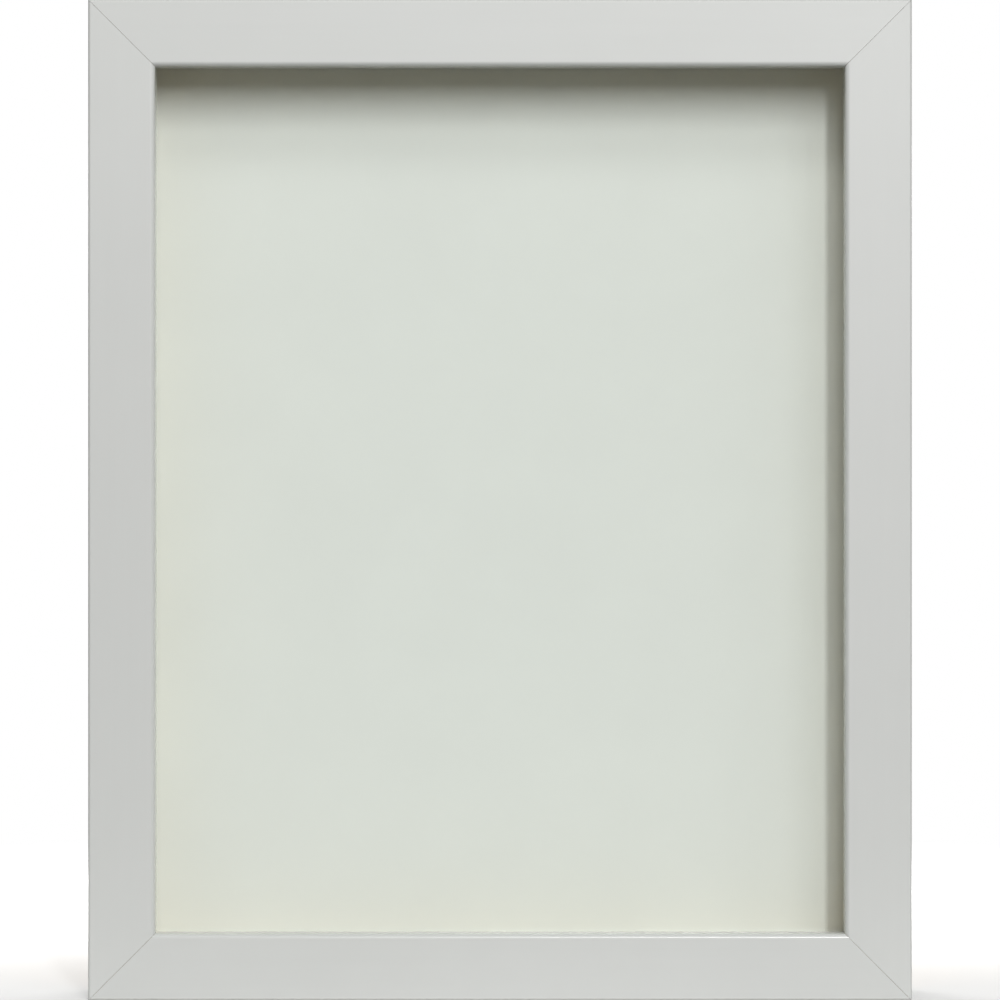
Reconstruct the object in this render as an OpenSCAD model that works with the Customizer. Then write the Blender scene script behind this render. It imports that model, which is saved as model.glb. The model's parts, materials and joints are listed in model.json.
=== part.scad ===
// Shadow box: a mitred, rebated frame that holds a sheet of glass away from a display board,
// so that a collectible has room between them. The back lifts out past six turn buttons.
// +X is to the right, +Y to the back and +Z up. The origin is under the middle of the box.

/* [Sheets] */
// Width of the glass, display board and backing board (8 in)
sheet_w = 203.2; // [150:0.1:300]
// Height of the glass, display board and backing board (10 in)
sheet_h = 254; // [240:0.1:400]
// Play round each sheet in the rebate
sheet_play = 0.4; // [0.2:0.1:1]
// Thickness of the glass
glass_t = 2; // [1.5:0.1:3]
// Thickness of the display board
display_t = 1.5; // [1:0.1:3]
// Thickness of the backing board
backing_t = 3; // [2:0.1:4]
// Gap between the spacers and the display board, so that the back drops in freely
back_play = 0.3; // [0.2:0.1:0.5]
// How far the backing board sits below the back of the rails
backing_recess = 0.2; // [0.1:0.1:1]

/* [Rails] */
// Width of each rail, seen from the front
rail_w = 19.1; // [18.5:0.1:30]
// Thickness of the front lip that the glass rests on
lip_t = 7; // [4:0.5:10]
// How far the lip covers the rebate
lip_overlap = 3.1; // [2.5:0.1:4]
// Radius of the outer front edge
outer_edge_r = 0.8; // [0.3:0.1:2]
// Radius of the inner front edge
inner_edge_r = 1.3; // [0.3:0.1:2]
// Radius of the outer back edge
back_edge_r = 0.4; // [0.2:0.1:1]

/* [Spacers] */
// Depth of the display space between the spacers' front and back edges
spacer_d = 18; // [12:0.5:40]
// Thickness of the spacer strips
spacer_t = 1.2; // [0.8:0.1:2]

/* [Turn buttons] */
// Distance from a button's pivot to the centre of its round tip
button_reach = 18; // [14:0.5:22]
// Radius of a button at its pivot
button_r = 5; // [4:0.1:6]
// Radius of a button's tip
button_tip_r = 4; // [3:0.1:5]
// Thickness of a button
button_t = 1.2; // [0.8:0.1:1.5]
// Height of the upper and lower buttons above and below the middle of the stiles
button_spread = 58; // [50:1:65]

/* [Hangers] */
// Distance from the top of the box down to the rings' pivots
hanger_drop = 44; // [40:1:50]
// Thickness of the hanger straps
strap_t = 1; // [0.8:0.1:1.2]
// Width of the hanger straps
strap_w = 7.8; // [6:0.1:7.9]
// Radius of the ring wire
ring_wire_r = 1; // [0.8:0.1:1.1]
// Half the width of a ring, to the middle of its wire
ring_half_w = 6; // [5.8:0.1:6.5]

/* [Screws and bumpers] */
// Radius of the screw shanks
shank_r = 1.5; // [1.2:0.1:1.6]
// Radius of the screw heads
head_r = 2.8; // [2.4:0.1:3]
// Height of the screw heads
head_h = 1.5; // [1:0.1:1.6]
// Radius of the wall bumpers
bumper_r = 4.5; // [3:0.1:6]
// Height of the wall bumpers
bumper_h = 5; // [4.6:0.1:7]

/* [Hidden] */
$fn = 48;

cut = 1; // how far a cutting shape runs past the surface it cuts

// Rebate, outline and depth of the frame
rebate_w = sheet_w + 2 * sheet_play;
rebate_h = sheet_h + 2 * sheet_play;
rail_back_w = rail_w - lip_overlap;
box_w = rebate_w + 2 * rail_back_w;
box_h = rebate_h + 2 * rail_back_w;
frame_d = lip_t + glass_t + spacer_d + back_play + display_t + backing_t + backing_recess;

// Depths, from the front of the lip to the back of the rails
front_y = -(frame_d + bumper_h) / 2;
glass_y = front_y + lip_t;
spacer_y = glass_y + glass_t;
display_y = spacer_y + spacer_d + back_play;
backing_y = display_y + display_t;
back_y = front_y + frame_d;

// Places of the hardware on the back of the rails
rail_mid = rail_back_w / 2;
stile_x = box_w / 2 - rail_mid;
upper_z = box_h / 2 + button_spread;
lower_z = box_h / 2 - button_spread;
ring_z = box_h - hanger_drop;
// Turn buttons: pivot x, pivot z, and the way the open blade points, from straight down towards +X
button_left_upper = [-stile_x, upper_z, 0];
button_left_lower = [-stile_x, lower_z, 0];
button_right_upper = [stile_x, upper_z, 0];
button_right_lower = [stile_x, lower_z, 0];
button_top = [0, box_h - rail_mid, -90];
button_bottom = [0, rail_mid, -90];
buttons = [button_left_upper, button_left_lower, button_right_upper, button_right_lower,
           button_top, button_bottom];

// Gaps of the moving hardware
running_gap = 0.05; // round a pivot
button_lift = 0.3; // under a button, and between it and its screw head

// Screws
shank_len = 12;
tip_len = 2.5;
tip_r = 0.2;
head_edge_r = 0.9;
recess_len = 3.2;
recess_w = 0.7;
recess_d = 0.8;
button_screw_seat = 2 * button_lift + button_t;

// Hanger ring and strap, from the ring's pivot
ring_bend_r = 2;
ring_arm_end = 4.5;
ring_lift = strap_t + ring_wire_r + 0.3;
barrel_wall = 0.8;
barrel_r = ring_wire_r + running_gap + barrel_wall;
strap_screw_y = 5.2;
strap_start_y = -barrel_r / 2;

// Corner nails: the width of a leg, its thickness and how deep it is driven
nail_leg = 4.2;
nail_t = 0.6;
nail_depth = 8;
nail_places = [8.5, 15.5]; // along the mitre, from the outer corner
bumper_edge_r = 0.6;

// Local frame on the back of the rails: x right, y down, z out to the back
module on_back(x, z) {
    translate([x, back_y, z]) rotate([-90, 0, 0]) children();
}

// What is taken off a square corner at the origin to round it
module corner_waste(r) {
    difference() {
        translate([-cut, -cut]) square(r + cut);
        translate([r, r]) circle(r);
    }
}

// Cross-section of a rail: depth along x, and the width from the outer edge along y
module rail_section() {
    difference() {
        union() {
            square([frame_d, rail_back_w]);
            square([lip_t, rail_w]);
        }
        corner_waste(outer_edge_r);
        translate([0, rail_w]) mirror([0, 1]) corner_waste(inner_edge_r);
        translate([frame_d, 0]) mirror([1, 0]) corner_waste(back_edge_r);
    }
}

// A mitred rail along X, its outer face down at z = 0
module rail_blank(length) {
    half = length / 2;
    intersection() {
        translate([-half - cut, front_y, 0]) rotate([90, 0, 90])
            linear_extrude(length + 2 * cut) rail_section();
        translate([0, back_y + cut, 0]) rotate([90, 0, 0]) linear_extrude(frame_d + 2 * cut)
            polygon([[-half - cut, -cut], [half + cut, -cut],
                     [half - rail_w - cut, rail_w + cut], [-half + rail_w + cut, rail_w + cut]]);
    }
}

// The part of a screw that is driven into the wood
module screw_shank() {
    translate([0, 0, -shank_len + tip_len]) cylinder(r = shank_r, h = shank_len - tip_len);
    translate([0, 0, -shank_len]) cylinder(r1 = tip_r, r2 = shank_r, h = tip_len);
}

// A pan-head screw whose head starts at the given height above the wood
module screw(seat) {
    screw_shank();
    cylinder(r = shank_r, h = seat);
    translate([0, 0, seat]) difference() {
        rotate_extrude() difference() {
            square([head_r, head_h]);
            translate([head_r, head_h]) mirror([1, 0]) mirror([0, 1]) corner_waste(head_edge_r);
        }
        for (turn = [0, 90]) rotate([0, 0, turn])
            translate([-recess_len / 2, -recess_w / 2, head_h - recess_d])
                cube([recess_len, recess_w, recess_d + cut]);
    }
}

// A V-shaped nail across the mitre, flush with the back: x runs inwards along the mitre
module corner_nail() {
    translate([0, 0, -nail_depth]) linear_extrude(nail_depth)
        for (side = [-1, 1]) rotate(side * 135)
            translate([-nail_t / 2, -nail_t / 2]) square([nail_leg + nail_t / 2, nail_t]);
}

// All the corner nails, two in each mitre
module corner_nail_set() {
    for (right = [0, 1]) mirror([right, 0, 0])
        for (top = [0, 1]) translate([0, 0, top * box_h]) mirror([0, 0, top])
            for (place = nail_places) on_back(-box_w / 2, 0)
                rotate([0, 0, -45]) translate([place, 0, 0]) corner_nail();
}

// What the fasteners take out of the rails
module fastener_holes() {
    for (b = buttons) on_back(b[0], b[1]) screw_shank();
    for (side = [-1, 1]) on_back(side * stile_x, ring_z) translate([0, strap_screw_y, 0]) screw_shank();
    corner_nail_set();
}

module top_rail() {
    color("#d3d5d2") difference() {
        translate([0, 0, box_h]) mirror([0, 0, 1]) rail_blank(box_w);
        fastener_holes();
    }
}

module bottom_rail() {
    color("#cbcdca") difference() {
        rail_blank(box_w);
        fastener_holes();
    }
}

// A stile, with side = -1 on the left and 1 on the right
module stile(side) {
    color("#cfd1ce") difference() {
        translate([side * box_w / 2, 0, box_h / 2]) rotate([0, -side * 90, 0]) rail_blank(box_h);
        fastener_holes();
    }
}

module glass() {
    color("#dce8e0", 0.35) translate([-sheet_w / 2, glass_y, (box_h - sheet_h) / 2])
        cube([sheet_w, glass_t, sheet_h]);
}

// A spacer strip along the top or bottom of the rebate, its lower face at height z
module spacer_level(z) {
    color("#c6b798") translate([-rebate_w / 2, spacer_y, z]) cube([rebate_w, spacer_d, spacer_t]);
}

// An upright spacer strip, between the other two
module spacer_upright(side) {
    color("#c6b798") translate([side * (rebate_w - spacer_t) / 2 - spacer_t / 2, spacer_y,
                                rail_back_w + spacer_t])
        cube([spacer_t, spacer_d, rebate_h - 2 * spacer_t]);
}

module display_board() {
    color("#d9ddd6") translate([-sheet_w / 2, display_y, (box_h - sheet_h) / 2])
        cube([sheet_w, display_t, sheet_h]);
}

module backing_board() {
    color("#8a6a48") translate([-sheet_w / 2, backing_y, (box_h - sheet_h) / 2])
        cube([sheet_w, backing_t, sheet_h]);
}

// A turn button at the place that b holds, turned open
module turn_button(b) {
    color("#b9bcbc") on_back(b[0], b[1]) rotate([0, 0, b[2]])
        translate([0, 0, button_lift]) linear_extrude(button_t) difference() {
            union() {
                circle(button_r);
                translate([-button_tip_r, 0]) square([2 * button_tip_r, button_reach]);
                translate([0, button_reach]) circle(button_tip_r);
            }
            circle(shank_r + running_gap);
        }
}

module turn_button_screws() {
    color("#a8abab") for (b = buttons) on_back(b[0], b[1]) screw(button_screw_seat);
}

// A hanger strap: a plate under one screw, rolled at its upper end round the ring's bar
module hanger_strap(side) {
    color("#b4b7b7") on_back(side * stile_x, ring_z) difference() {
        union() {
            translate([0, 0, ring_lift]) rotate([0, 90, 0])
                cylinder(r = barrel_r, h = strap_w, center = true);
            translate([-strap_w / 2, strap_start_y, 0])
                cube([strap_w, strap_screw_y - strap_start_y, strap_t]);
            translate([0, strap_screw_y, 0]) cylinder(r = strap_w / 2, h = strap_t);
        }
        translate([0, 0, ring_lift]) rotate([0, 90, 0])
            cylinder(r = ring_wire_r + running_gap, h = strap_w + 2 * cut, center = true);
        translate([0, strap_screw_y, -cut]) cylinder(r = shank_r, h = strap_t + 2 * cut);
    }
}

// A quarter or half turn of the ring's wire, from angle start
module wire_bend(bend_r, start, sweep) {
    rotate([0, 0, start]) rotate_extrude(angle = sweep) translate([bend_r, 0]) circle(ring_wire_r);
}

// A D-shaped ring, hanging from its straight bar
module hanger_ring(side) {
    bar_half = ring_half_w - ring_bend_r;
    color("#c2c5c5") on_back(side * stile_x, ring_z) translate([0, 0, ring_lift]) {
        rotate([0, 90, 0]) cylinder(r = ring_wire_r, h = 2 * bar_half, center = true);
        translate([bar_half, ring_bend_r, 0]) wire_bend(ring_bend_r, -90, 90);
        translate([-bar_half, ring_bend_r, 0]) wire_bend(ring_bend_r, 180, 90);
        for (arm = [-1, 1]) translate([arm * ring_half_w, ring_bend_r, 0]) rotate([-90, 0, 0])
            cylinder(r = ring_wire_r, h = ring_arm_end - ring_bend_r);
        translate([0, ring_arm_end, 0]) wire_bend(ring_half_w, 0, 180);
    }
}

module hanger_screws() {
    color("#a8abab") for (side = [-1, 1]) on_back(side * stile_x, ring_z)
        translate([0, strap_screw_y, 0]) screw(strap_t);
}

module corner_nails() {
    color("#9a9d9d") corner_nail_set();
}

// A round bumper on a lower back corner
module bumper(side) {
    color("#6f706e") on_back(side * stile_x, rail_mid) rotate_extrude() difference() {
        square([bumper_r, bumper_h]);
        translate([bumper_r, bumper_h]) mirror([1, 0]) mirror([0, 1]) corner_waste(bumper_edge_r);
    }
}

top_rail();
bottom_rail();
stile(-1);  // left_stile
stile(1);  // right_stile
glass();
spacer_level(box_h - rail_back_w - spacer_t);  // spacer_top
spacer_level(rail_back_w);  // spacer_bottom
spacer_upright(-1);  // spacer_left
spacer_upright(1);  // spacer_right
display_board();
backing_board();
turn_button(button_left_upper);  // turn_button_left_upper
turn_button(button_left_lower);  // turn_button_left_lower
turn_button(button_right_upper);  // turn_button_right_upper
turn_button(button_right_lower);  // turn_button_right_lower
turn_button(button_top);  // turn_button_top
turn_button(button_bottom);  // turn_button_bottom
turn_button_screws();
hanger_strap(-1);  // hanger_strap_left
hanger_strap(1);  // hanger_strap_right
hanger_ring(-1);  // hanger_ring_left
hanger_ring(1);  // hanger_ring_right
hanger_screws();
corner_nails();
bumper(-1);  // bumper_left
bumper(1);  // bumper_right
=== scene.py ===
"""A white shadow box: the looks of every piece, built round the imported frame.

Each sub-assembly is a class that reads its place from the frame, models its pieces and dresses them.
Lengths are in metres. +X is to the right, +Y to the back and +Z up, and the glass faces -Y.
"""
import json
import logging
import math
from dataclasses import dataclass
from enum import Enum
from typing import Callable, ClassVar, Iterable, Sequence

import bmesh
import bpy
from mathutils import Euler, Matrix, Vector


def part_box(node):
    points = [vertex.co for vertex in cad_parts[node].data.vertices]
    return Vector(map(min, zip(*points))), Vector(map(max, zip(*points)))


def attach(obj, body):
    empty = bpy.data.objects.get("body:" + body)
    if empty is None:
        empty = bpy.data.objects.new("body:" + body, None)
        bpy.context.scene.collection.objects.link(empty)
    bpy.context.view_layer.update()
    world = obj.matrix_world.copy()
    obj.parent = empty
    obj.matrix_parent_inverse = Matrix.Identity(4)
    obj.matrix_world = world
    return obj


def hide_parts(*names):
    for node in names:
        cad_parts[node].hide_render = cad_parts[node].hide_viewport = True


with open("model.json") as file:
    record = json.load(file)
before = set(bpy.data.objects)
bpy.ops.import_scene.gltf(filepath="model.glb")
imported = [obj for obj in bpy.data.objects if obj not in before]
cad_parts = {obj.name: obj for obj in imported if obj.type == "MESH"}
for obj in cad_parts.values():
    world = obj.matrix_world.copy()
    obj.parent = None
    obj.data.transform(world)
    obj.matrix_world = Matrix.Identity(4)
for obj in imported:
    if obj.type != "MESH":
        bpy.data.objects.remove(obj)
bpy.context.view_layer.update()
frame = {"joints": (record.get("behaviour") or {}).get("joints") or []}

logging.basicConfig(level=logging.INFO, format="%(message)s")
log = logging.getLogger("shadow_box")

MM = 0.001
ROOT_BODY = "frame"
BACK_BODY = "back_pack"
NEAR = 1e-6  # two places this near are the same place
CLOSE = 0.02 * MM  # how near a curved outline its points lie

Colour = tuple[float, float, float]
Spot = tuple[float, float, float]
FaceTest = Callable[[Vector, Vector], bool]
PointTest = Callable[[Vector], bool]


class Axis(Enum):
    """A direction in the box's own frame."""

    X = 0
    Y = 1
    Z = 2


class Side(Enum):
    """The left or right half of the box, seen from the front."""

    LEFT = -1
    RIGHT = 1


@dataclass(frozen=True)
class Places:
    """The heights, depths and widths that the pieces share, read from the frame.

    Args:
        front: depth of the lip's front face.
        glass: depth of the glass's front face.
        back: depth of the rails' back faces.
        rail: width of a rail at its lip.
        wall: width of a rail behind the lip.
        width: outer width of the box.
        height: outer height of the box.
    """

    front: float
    glass: float
    back: float
    rail: float
    wall: float
    width: float
    height: float

    @classmethod
    def read(cls) -> "Places":
        """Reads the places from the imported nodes.

        Returns:
            The places.
        """
        low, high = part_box("bottom_rail")
        return cls(front=low.y, glass=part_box("glass")[0].y, back=high.y, rail=high.z,
                   wall=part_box("spacer_bottom")[0].z, width=high.x - low.x,
                   height=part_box("left_stile")[1].z)


# ---------------------------------------------------------------- the bench: modelling by hand


def deselect_all() -> None:
    """Leaves no object selected."""
    bpy.ops.object.select_all(action="DESELECT")


def pick(piece: bpy.types.Object, *others: bpy.types.Object) -> None:
    """Selects these objects only, with the first one active.

    Args:
        piece: the object to work on.
        others: objects that are selected with it.
    """
    deselect_all()
    for each in (*others, piece):
        each.select_set(True)
    bpy.context.view_layer.objects.active = piece


def named(name: str) -> bpy.types.Object:
    """Names the primitive just added and applies its place to its mesh.

    Args:
        name: the piece's name.

    Returns:
        The new piece.
    """
    piece = bpy.context.active_object
    bpy.ops.object.transform_apply(location=True, rotation=True, scale=True)
    piece.name = piece.data.name = name
    return piece


def add_block(name: str, low: Sequence[float], high: Sequence[float]) -> bpy.types.Object:
    """Adds a box between two corners.

    Args:
        name: the piece's name.
        low: its lowest corner.
        high: its highest corner.

    Returns:
        The new piece.
    """
    deselect_all()
    a, b = Vector(low), Vector(high)
    bpy.ops.mesh.primitive_cube_add(size=1, location=(a + b) / 2, scale=b - a)
    return named(name)


def add_disc(name: str, radius: float, height: float, sides: int = 48,
             base: float = 0.0) -> bpy.types.Object:
    """Adds an upright cylinder on the local Z axis.

    Args:
        name: the piece's name.
        radius: its radius.
        height: its height.
        sides: how many sides it has.
        base: the height of its lower face.

    Returns:
        The new piece.
    """
    deselect_all()
    bpy.ops.mesh.primitive_cylinder_add(vertices=sides, radius=radius, depth=height,
                                        location=(0, 0, base + height / 2))
    return named(name)


def copy_of(piece: bpy.types.Object, name: str) -> bpy.types.Object:
    """Duplicates a piece with its own mesh.

    Args:
        piece: what is copied.
        name: the copy's name.

    Returns:
        The copy.
    """
    pick(piece)
    bpy.ops.object.duplicate(linked=False)
    twin = bpy.context.active_object
    twin.name = twin.data.name = name
    return twin


def settle(piece: bpy.types.Object, matrix: Matrix) -> bpy.types.Object:
    """Moves a piece and applies the move to its mesh, so that its object stays at the origin.

    Args:
        piece: the piece to place.
        matrix: where it goes. A mirroring matrix has its faces turned outwards again.

    Returns:
        The same piece.
    """
    pick(piece)
    piece.matrix_world = matrix
    bpy.ops.object.transform_apply(location=True, rotation=True, scale=True)
    if matrix.determinant() < 0:
        face_outwards(piece)
    return piece


def face_outwards(piece: bpy.types.Object) -> None:
    """Merges doubled points and turns every face of a closed piece outwards.

    Args:
        piece: the piece to mend.
    """
    with Editing(piece) as edit:
        edit.everything()
        bpy.ops.mesh.remove_doubles(threshold=NEAR)
        bpy.ops.mesh.normals_make_consistent(inside=False)


def add_modifier(piece: bpy.types.Object, kind: str, **settings: object) -> None:
    """Adds a modifier and applies it.

    Args:
        piece: the piece that gets it.
        kind: Blender's name for the modifier's type.
        settings: values for the modifier's own properties.
    """
    pick(piece)
    bpy.ops.object.modifier_add(type=kind)
    modifier = piece.modifiers[-1]
    for key, value in settings.items():
        setattr(modifier, key, value)
    bpy.ops.object.modifier_apply(modifier=modifier.name)


def carve(piece: bpy.types.Object, cutters: Iterable[bpy.types.Object]) -> None:
    """Cuts closed shapes out of a piece and throws the cutters away.

    Args:
        piece: what is cut.
        cutters: the shapes that are taken away.
    """
    for cutter in cutters:
        add_modifier(piece, "BOOLEAN", operation="DIFFERENCE", solver="EXACT", object=cutter)
        bpy.data.objects.remove(cutter)


def smooth(piece: bpy.types.Object, degrees: float = 35.0) -> None:
    """Shades a piece smooth over its rounded edges, and keeps its large faces flat.

    Args:
        piece: the piece to shade.
        degrees: edges sharper than this stay crisp.
    """
    pick(piece)
    bpy.ops.object.shade_smooth_by_angle(angle=math.radians(degrees))
    add_modifier(piece, "WEIGHTED_NORMAL", keep_sharp=True, weight=50)


class Editing:
    """Edit mode on one piece, as a with-block that starts with nothing selected."""

    def __init__(self, piece: bpy.types.Object) -> None:
        """Takes the piece to edit."""
        self.piece = piece

    def __enter__(self) -> "Editing":
        """Enters edit mode.

        Returns:
            This helper.
        """
        pick(self.piece)
        bpy.ops.object.mode_set(mode="EDIT")
        bpy.ops.mesh.select_all(action="DESELECT")
        return self

    def __exit__(self, *error: object) -> None:
        """Goes back to object mode."""
        bpy.ops.object.mode_set(mode="OBJECT")

    def everything(self) -> None:
        """Selects the whole mesh."""
        bpy.ops.mesh.select_mode(type="VERT")
        bpy.ops.mesh.select_all(action="SELECT")

    def nothing(self) -> None:
        """Deselects the whole mesh."""
        bpy.ops.mesh.select_all(action="DESELECT")

    def faces(self, test: FaceTest) -> None:
        """Selects the faces whose centre and normal pass a test.

        Args:
            test: takes a face's centre and its normal.
        """
        self.nothing()
        bpy.ops.mesh.select_mode(type="FACE")
        mesh = bmesh.from_edit_mesh(self.piece.data)
        for face in mesh.faces:
            face.select_set(test(face.calc_center_median(), face.normal))
        bmesh.update_edit_mesh(self.piece.data)

    def edges(self, test: PointTest) -> None:
        """Selects the edges whose two ends both pass a test.

        Args:
            test: takes a point.
        """
        self.nothing()
        bpy.ops.mesh.select_mode(type="EDGE")
        mesh = bmesh.from_edit_mesh(self.piece.data)
        for edge in mesh.edges:
            edge.select_set(all(test(point.co) for point in edge.verts))
        bmesh.update_edit_mesh(self.piece.data)

    def points(self, test: PointTest) -> None:
        """Selects the points that pass a test.

        Args:
            test: takes a point.
        """
        self.nothing()
        bpy.ops.mesh.select_mode(type="VERT")
        mesh = bmesh.from_edit_mesh(self.piece.data)
        for point in mesh.verts:
            point.select_set(test(point.co))
        mesh.select_flush(True)
        bmesh.update_edit_mesh(self.piece.data)

    def slice(self, place: Sequence[float], normal: Sequence[float], cut_off: bool = False) -> None:
        """Cuts the whole mesh with a plane.

        Args:
            place: a point on the plane.
            normal: the plane's normal.
            cut_off: whether what lies on the normal's side goes, and the cut is closed.
        """
        self.everything()
        bpy.ops.mesh.bisect(plane_co=place, plane_no=Vector(normal).normalized(),
                            clear_outer=cut_off, use_fill=cut_off)

    def extrude(self, move: Sequence[float]) -> None:
        """Extrudes the selected faces or edges along a move."""
        bpy.ops.mesh.extrude_region_move(TRANSFORM_OT_translate={"value": tuple(move)})

    def round_edges(self, radius: float, segments: int) -> None:
        """Bevels the selected edges to this radius, in this many strips."""
        bpy.ops.mesh.bevel(offset=radius, offset_type="OFFSET", segments=segments, profile=0.5,
                           affect="EDGES", clamp_overlap=True)


def on_line(y: float, z: float) -> PointTest:
    """A test for points on the line along X at this depth and height."""
    return lambda point: abs(point.y - y) < NEAR and abs(point.z - z) < NEAR


def back_matrix(x: float, z: float, y: float, turn: float = 0.0) -> Matrix:
    """A place on the back, turned about its own z: local x to the right, y down, z out of the back."""
    stand_up = Euler((-math.pi / 2, 0, 0)).to_matrix().to_4x4()
    return Matrix.Translation((x, y, z)) @ stand_up @ Matrix.Rotation(turn, 4, "Z")


def deliver(piece: bpy.types.Object, body: str, slot: str, *nodes: str) -> None:
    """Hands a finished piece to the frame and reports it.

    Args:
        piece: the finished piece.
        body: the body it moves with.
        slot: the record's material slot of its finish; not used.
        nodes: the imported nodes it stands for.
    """
    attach(piece, body)
    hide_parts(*nodes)
    log.info("%s: %d faces, rides on %s", piece.name, len(piece.data.polygons), body)


# ---------------------------------------------------------------- finishes


class Shading:
    """A material's node tree, with short ways to add the nodes that the finishes use."""

    def __init__(self, name: str) -> None:
        """Starts an empty material.

        Args:
            name: the material's name.
        """
        self.material = bpy.data.materials.new(name)
        self.material.use_nodes = True
        self.tree = self.material.node_tree
        self.tree.nodes.clear()
        self.output = self.add("ShaderNodeOutputMaterial")
        self.place = self.add("ShaderNodeTexCoord").outputs["Object"]

    def add(self, kind: str, **settings: object) -> bpy.types.Node:
        """Adds a node.

        Args:
            kind: Blender's name for the node's type.
            settings: values for the node's own properties.

        Returns:
            The node.
        """
        node = self.tree.nodes.new(kind)
        for key, value in settings.items():
            setattr(node, key, value)
        return node

    def feed(self, target: bpy.types.NodeSocket, value: object) -> None:
        """Links a socket to another one, or sets it to a plain value.

        Args:
            target: the socket that is fed.
            value: a socket, a number, or three numbers for a colour.
        """
        if isinstance(value, bpy.types.NodeSocket):
            self.tree.links.new(value, target)
        elif isinstance(value, tuple) and len(value) == 3 and len(target.default_value) == 4:
            target.default_value = (*value, 1.0)
        else:
            target.default_value = value

    def stretched(self, scale: Sequence[float], turn: Sequence[float] = (0, 0, 0)) -> bpy.types.NodeSocket:
        """The piece's own coordinates, scaled by this much along each axis.

        Args:
            scale: repeats per metre along x, y and z.
            turn: radians about x, y and z.

        Returns:
            The scaled coordinates.
        """
        node = self.add("ShaderNodeMapping")
        self.feed(node.inputs["Vector"], self.place)
        self.feed(node.inputs["Scale"], tuple(scale))
        self.feed(node.inputs["Rotation"], tuple(turn))
        return node.outputs["Vector"]

    def noise(self, where: bpy.types.NodeSocket, scale: float = 1.0, detail: float = 3.0,
              roughness: float = 0.55) -> bpy.types.NodeSocket:
        """Cloudy noise from 0 to 1.

        Args:
            where: its coordinates.
            scale: how fine it is.
            detail: how many finer octaves it has.
            roughness: how strong they are.

        Returns:
            The noise's value.
        """
        node = self.add("ShaderNodeTexNoise")
        self.feed(node.inputs["Vector"], where)
        self.feed(node.inputs["Scale"], scale)
        self.feed(node.inputs["Detail"], detail)
        self.feed(node.inputs["Roughness"], roughness)
        return node.outputs["Fac"]

    def ranged(self, value: bpy.types.NodeSocket, low: float, high: float, to_low: float = 0.0,
               to_high: float = 1.0) -> bpy.types.NodeSocket:
        """Spreads a value's range over another one, held at its ends.

        Args:
            value: the value, a socket.
            low: where its range starts.
            high: where it ends.
            to_low: what the start becomes.
            to_high: what the end becomes.

        Returns:
            The new value.
        """
        node = self.add("ShaderNodeMapRange", clamp=True)
        for index, number in enumerate((value, low, high, to_low, to_high)):
            self.feed(node.inputs[index], number)
        return node.outputs[0]

    def maths(self, kind: str, a: object, b: object = 0.0) -> bpy.types.NodeSocket:
        """One sum on two values.

        Args:
            kind: Blender's name for the operation.
            a: the first value, a number or a socket.
            b: the second value.

        Returns:
            The result.
        """
        node = self.add("ShaderNodeMath", operation=kind)
        self.feed(node.inputs[0], a)
        self.feed(node.inputs[1], b)
        return node.outputs[0]

    def blend(self, share: object, a: object, b: object) -> bpy.types.NodeSocket:
        """A colour between two others.

        Args:
            share: 0 for the first colour, 1 for the second.
            a: the first colour, three numbers or a socket.
            b: the second colour.

        Returns:
            The blended colour.
        """
        node = self.add("ShaderNodeMix", data_type="RGBA")
        self.feed(node.inputs[0], share)
        self.feed(node.inputs[6], a)
        self.feed(node.inputs[7], b)
        return node.outputs[2]

    def bump(self, height: bpy.types.NodeSocket, depth: float,
             normal: bpy.types.NodeSocket | None = None) -> bpy.types.NodeSocket:
        """A surface relief.

        Args:
            height: the relief from 0 to 1.
            depth: how deep it is, in metres.
            normal: a coarser relief under it.

        Returns:
            The normal.
        """
        node = self.add("ShaderNodeBump")
        self.feed(node.inputs["Strength"], 1.0)
        self.feed(node.inputs["Distance"], depth)
        self.feed(node.inputs["Height"], height)
        if normal is not None:
            self.feed(node.inputs["Normal"], normal)
        return node.outputs["Normal"]

    def surface(self, **inputs: object) -> bpy.types.Material:
        """Adds the surface shader, closes the material and returns it.

        Args:
            inputs: the shader's sockets by name, with an underscore for each space.

        Returns:
            The finished material.
        """
        node = self.add("ShaderNodeBsdfPrincipled")
        for key, value in inputs.items():
            self.feed(node.inputs[key.replace("_", " ")], value)
        self.feed(self.output.inputs["Surface"], node.outputs["BSDF"])
        return self.material


@dataclass(frozen=True)
class SatinPaint:
    """Sprayed satin paint over wood, with the grain and the spray just readable.

    Args:
        name: the material's name.
        grain: the way the wood runs.
        sheen: the roughness of its smoothest spots.
        light: the paint's lighter tone.
        dark: its darker tone.
    """

    name: str
    grain: Axis
    sheen: float = 0.38
    light: Colour = (0.645, 0.656, 0.640)
    dark: Colour = (0.627, 0.638, 0.622)

    def material(self) -> bpy.types.Material:
        """Builds the finish.

        Returns:
            Its material.
        """
        s = Shading(self.name)
        across = [520.0, 520.0, 520.0]
        across[self.grain.value] = 16.0
        cloud = s.noise(s.place, scale=26.0, detail=2.0)
        figure = s.noise(s.stretched(across), detail=4.0)
        peel = s.noise(s.place, scale=1500.0, detail=1.0)
        tone = s.maths("ADD", s.maths("MULTIPLY", cloud, 0.7), s.maths("MULTIPLY", figure, 0.3))
        relief = s.bump(figure, 0.006 * MM)
        return s.surface(Base_Color=s.blend(s.ranged(tone, 0.3, 0.7), self.dark, self.light),
                         Roughness=s.ranged(peel, 0.2, 0.8, self.sheen, self.sheen + 0.06),
                         Specular_IOR_Level=0.5, Normal=s.bump(peel, 0.0022 * MM, relief))


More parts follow.
